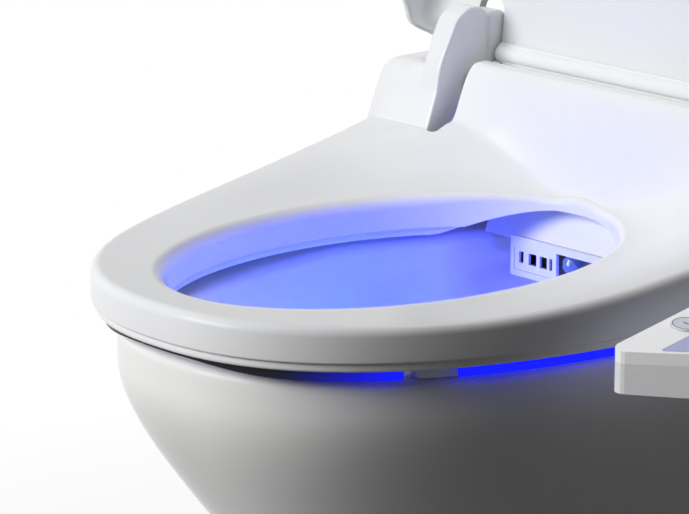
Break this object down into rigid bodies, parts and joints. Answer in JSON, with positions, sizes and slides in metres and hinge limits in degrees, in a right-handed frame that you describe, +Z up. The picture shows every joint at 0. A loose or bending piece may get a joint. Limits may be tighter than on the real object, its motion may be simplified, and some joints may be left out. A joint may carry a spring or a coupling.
{
  "type": "toilet",
  "caption": "Floor-standing toilet pan with an electronic bidet seat, open hinged lid, side control arm and retractable spray wands.",
  "frame": {"origin": "centre of the waste outlet at floor level", "axes": "+Z up, -Y towards the user, +X towards the control arm, on the seated user's left"},
  "size_m": [0.502, 0.602, 0.8837],
  "materials": {
    "ceramic": "glossy white glaze",
    "seat_plastic": "glossy white moulding",
    "lid_plastic": "glossy white moulding",
    "unit_plastic": "glossy white moulding",
    "inner_plastic": "satin white moulding",
    "dark_plastic": "satin dark grey moulding",
    "panel_plastic": "glossy white moulding",
    "panel_tint": "glossy pale lilac film",
    "button_plastic": "satin pale grey moulding",
    "light_lens": "translucent blue, lit",
    "tip_plastic": "clear pale blue",
    "pale_rubber": "soft pale grey",
    "dark_rubber": "dark, matte",
    "steel": "zinc plated",
    "wand_steel": "polished stainless",
    "brass": "plated brass",
    "foil": "foil laminate",
    "circuit": "green circuit board"
  },
  "bodies": {
    "toilet": {"pan": "ceramic", "floor_brackets": "steel", "side_screws": "steel", "screw_caps": "unit_plastic", "mounting_plate": "inner_plastic", "mounting_bolts": "steel", "mounting_washers": "dark_rubber", "mounting_nuts": "inner_plastic", "unit_tray": "unit_plastic", "unit_cover": "unit_plastic", "end_cap_left": "unit_plastic", "end_cap_right": "unit_plastic", "hinge_pins": "steel", "splash_shield": "inner_plastic", "air_grille": "inner_plastic", "air_duct": "dark_plastic", "blower": "dark_plastic", "nozzle_guide": "dark_plastic", "nozzle_motor": "dark_plastic", "water_heater": "inner_plastic", "pump": "dark_plastic", "inlet_valve": "brass", "control_board": "circuit", "power_gland": "dark_rubber", "bowl_light": "light_lens", "panel_housing": "unit_plastic", "panel_cover": "panel_plastic", "panel_field": "panel_tint", "panel_board": "circuit"},
    "seat": {"seat_top": "seat_plastic", "seat_base": "seat_plastic", "seat_heater": "foil", "seat_buffers": "pale_rubber", "light_guides": "light_lens"},
    "lid": {"lid_shell": "lid_plastic", "lid_bar": "seat_plastic", "lid_pads": "pale_rubber"},
    "wash_arm": {"wash_wand": "wand_steel", "wash_tip": "tip_plastic"},
    "bidet_arm": {"bidet_wand": "wand_steel", "bidet_tip": "tip_plastic"},
    "key_stop": {"button_stop": "button_plastic"},
    "key_wash": {"button_wash": "button_plastic"},
    "key_bidet": {"button_bidet": "button_plastic"},
    "key_dry": {"button_dry": "button_plastic"},
    "key_less": {"button_less": "button_plastic"},
    "key_more": {"button_more": "button_plastic"}
  },
  "joints": [
    {"name": "seat_hinge", "type": "hinge", "parent": "toilet", "child": "seat", "pos_m": [0, -0.036, 0.488], "axis": [1, 0, 0], "range_deg": [-95, 0]},
    {"name": "lid_hinge", "type": "hinge", "parent": "toilet", "child": "lid", "pos_m": [0, -0.036, 0.488], "axis": [1, 0, 0], "range_deg": [0, 105]},
    {"name": "wash_slide", "type": "slide", "parent": "toilet", "child": "wash_arm", "axis": [0, -0.848, -0.5299], "range_m": [0, 0.06]},
    {"name": "bidet_slide", "type": "slide", "parent": "toilet", "child": "bidet_arm", "axis": [0, -0.848, -0.5299], "range_m": [0, 0.06]},
    {"name": "stop_press", "type": "slide", "parent": "toilet", "child": "key_stop", "axis": [-0.0837, 0.1696, -0.982], "range_m": [0, 0.001], "stiffness_N_per_m": 900, "springref_m": -0.0004},
    {"name": "wash_press", "type": "slide", "parent": "toilet", "child": "key_wash", "axis": [-0.0837, 0.1696, -0.982], "range_m": [0, 0.001], "stiffness_N_per_m": 900, "springref_m": -0.0004},
    {"name": "bidet_press", "type": "slide", "parent": "toilet", "child": "key_bidet", "axis": [-0.0837, 0.1696, -0.982], "range_m": [0, 0.001], "stiffness_N_per_m": 900, "springref_m": -0.0004},
    {"name": "dry_press", "type": "slide", "parent": "toilet", "child": "key_dry", "axis": [-0.0837, 0.1696, -0.982], "range_m": [0, 0.001], "stiffness_N_per_m": 900, "springref_m": -0.0004},
    {"name": "less_press", "type": "slide", "parent": "toilet", "child": "key_less", "axis": [-0.0837, 0.1696, -0.982], "range_m": [0, 0.001], "stiffness_N_per_m": 900, "springref_m": -0.0004},
    {"name": "more_press", "type": "slide", "parent": "toilet", "child": "key_more", "axis": [-0.0837, 0.1696, -0.982], "range_m": [0, 0.001], "stiffness_N_per_m": 900, "springref_m": -0.0004}
  ]
}
